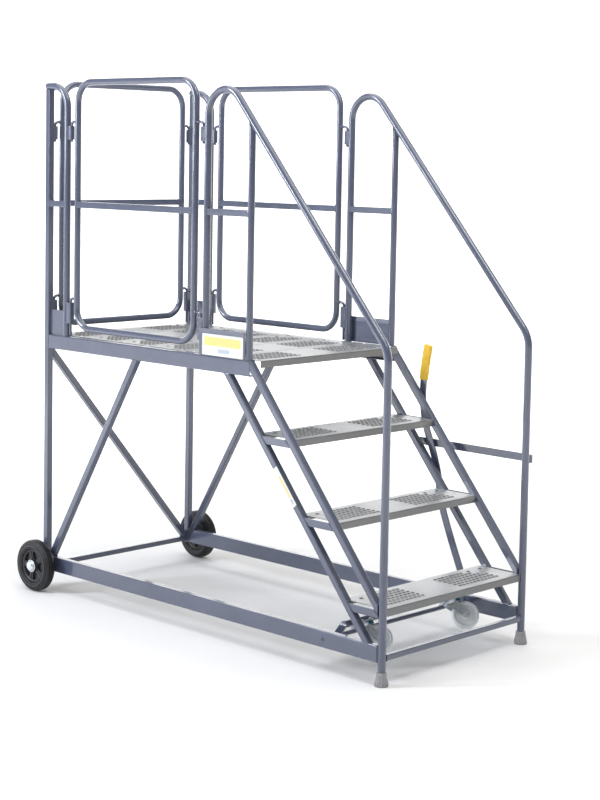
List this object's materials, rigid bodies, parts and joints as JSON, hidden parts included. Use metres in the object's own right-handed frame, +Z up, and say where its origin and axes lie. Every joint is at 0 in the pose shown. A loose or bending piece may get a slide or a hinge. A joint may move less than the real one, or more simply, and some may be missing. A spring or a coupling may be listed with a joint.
{
  "type": "mobile ladder stand",
  "caption": "Mobile steel ladder stand: perforated steps and work platform with handrails, lift-out side gates, rear wheels and lever-lowered castors.",
  "frame": {"origin": "centre of the bounding box at floor level", "axes": "+X from the rear wheels to the foot of the steps, +Y across the width towards the lever side, +Z up"},
  "size_m": [1.9, 0.942, 2.0045],
  "materials": {
    "paint": "semi-gloss blue-grey enamel over steel tube",
    "galvanised": "dull galvanised perforated sheet",
    "tyre_rubber": "matt black ribbed rubber",
    "hub_plastic": "moulded black plastic",
    "zinc": "bright zinc plate",
    "nylon": "moulded white nylon",
    "foot_plastic": "moulded grey plastic",
    "grip_plastic": "dipped yellow plastic"
  },
  "bodies": {
    "frame": {"base_rail_near": "paint", "rear_post_near": "paint", "side_brace_near": "paint", "deck_channel_near": "paint", "front_stringer_near": "paint", "rear_stringer_near": "paint", "handrail_near": "paint", "front_post_near": "paint", "handrail_mid_rail_near": "paint", "front_toe_plate_near": "paint", "corner_hoop_near": "paint", "corner_mid_rail_near": "paint", "rear_toe_plate_near": "paint", "base_rail_far": "paint", "rear_post_far": "paint", "side_brace_far": "paint", "deck_channel_far": "paint", "front_stringer_far": "paint", "rear_stringer_far": "paint", "handrail_far": "paint", "front_post_far": "paint", "handrail_mid_rail_far": "paint", "front_toe_plate_far": "paint", "corner_hoop_far": "paint", "corner_mid_rail_far": "paint", "rear_toe_plate_far": "paint", "rear_cross_bar": "paint", "front_cross_bar": "paint", "rear_brace": "paint", "deck_end_rail": "paint", "lever_guide": "paint", "deck_plank_1": "galvanised", "deck_plank_2": "galvanised", "deck_plank_3": "galvanised", "deck_plank_4": "galvanised", "deck_plank_5": "galvanised", "deck_plank_6": "galvanised", "tread_1": "galvanised", "tread_2": "galvanised", "tread_3": "galvanised", "foot_near": "foot_plastic", "wheel_axle_near": "zinc", "foot_far": "foot_plastic", "wheel_axle_far": "zinc"},
    "rear_wheel_near": {"tyre_near": "tyre_rubber", "wheel_hub_near": "hub_plastic"},
    "rear_wheel_far": {"tyre_far": "tyre_rubber", "wheel_hub_far": "hub_plastic"},
    "side_gate_near": {"side_gate_near": "paint"},
    "side_gate_far": {"side_gate_far": "paint"},
    "rear_gate": {"rear_gate": "paint"},
    "castor_lift": {"lift_frame": "paint", "lift_lever": "paint", "lever_grip": "grip_plastic", "castor_plate_near": "zinc", "castor_plate_far": "zinc"},
    "castor_swivel_near": {"castor_fork_near": "zinc"},
    "castor_roller_near": {"castor_wheel_near": "nylon"},
    "castor_swivel_far": {"castor_fork_far": "zinc"},
    "castor_roller_far": {"castor_wheel_far": "nylon"}
  },
  "joints": [
    {"name": "rear_wheel_near_spin", "type": "hinge", "parent": "frame", "child": "rear_wheel_near", "pos_m": [-0.85, -0.434, 0.1], "axis": [0, 1, 0], "continuous": true},
    {"name": "rear_wheel_far_spin", "type": "hinge", "parent": "frame", "child": "rear_wheel_far", "pos_m": [-0.85, 0.434, 0.1], "axis": [0, 1, 0], "continuous": true},
    {"name": "side_gate_near_lift", "type": "slide", "parent": "frame", "child": "side_gate_near", "axis": [0, 0, 1], "range_m": [0, 0.14]},
    {"name": "side_gate_far_lift", "type": "slide", "parent": "frame", "child": "side_gate_far", "axis": [0, 0, 1], "range_m": [0, 0.14]},
    {"name": "rear_gate_lift", "type": "slide", "parent": "frame", "child": "rear_gate", "axis": [0, 0, 1], "range_m": [0, 0.14]},
    {"name": "castor_lift_swing", "type": "hinge", "parent": "frame", "child": "castor_lift", "pos_m": [0.665, 0, 0.106], "axis": [0, 1, 0], "range_deg": [0, 36]},
    {"name": "castor_near_swivel", "type": "hinge", "parent": "castor_lift", "child": "castor_swivel_near", "pos_m": [0.70545, -0.235, 0.13539], "axis": [-0.5878, 0, 0.809], "continuous": true},
    {"name": "castor_near_roll", "type": "hinge", "parent": "castor_swivel_near", "child": "castor_roller_near", "pos_m": [0.75817, -0.21043, 0.09211], "axis": [-0.6627, 0.5736, -0.4815], "continuous": true},
    {"name": "castor_far_swivel", "type": "hinge", "parent": "castor_lift", "child": "castor_swivel_far", "pos_m": [0.70545, 0.235, 0.13539], "axis": [-0.5878, 0, 0.809], "continuous": true},
    {"name": "castor_far_roll", "type": "hinge", "parent": "castor_swivel_far", "child": "castor_roller_far", "pos_m": [0.75817, 0.25958, 0.09211], "axis": [-0.6627, 0.5736, -0.4815], "continuous": true}
  ]
}
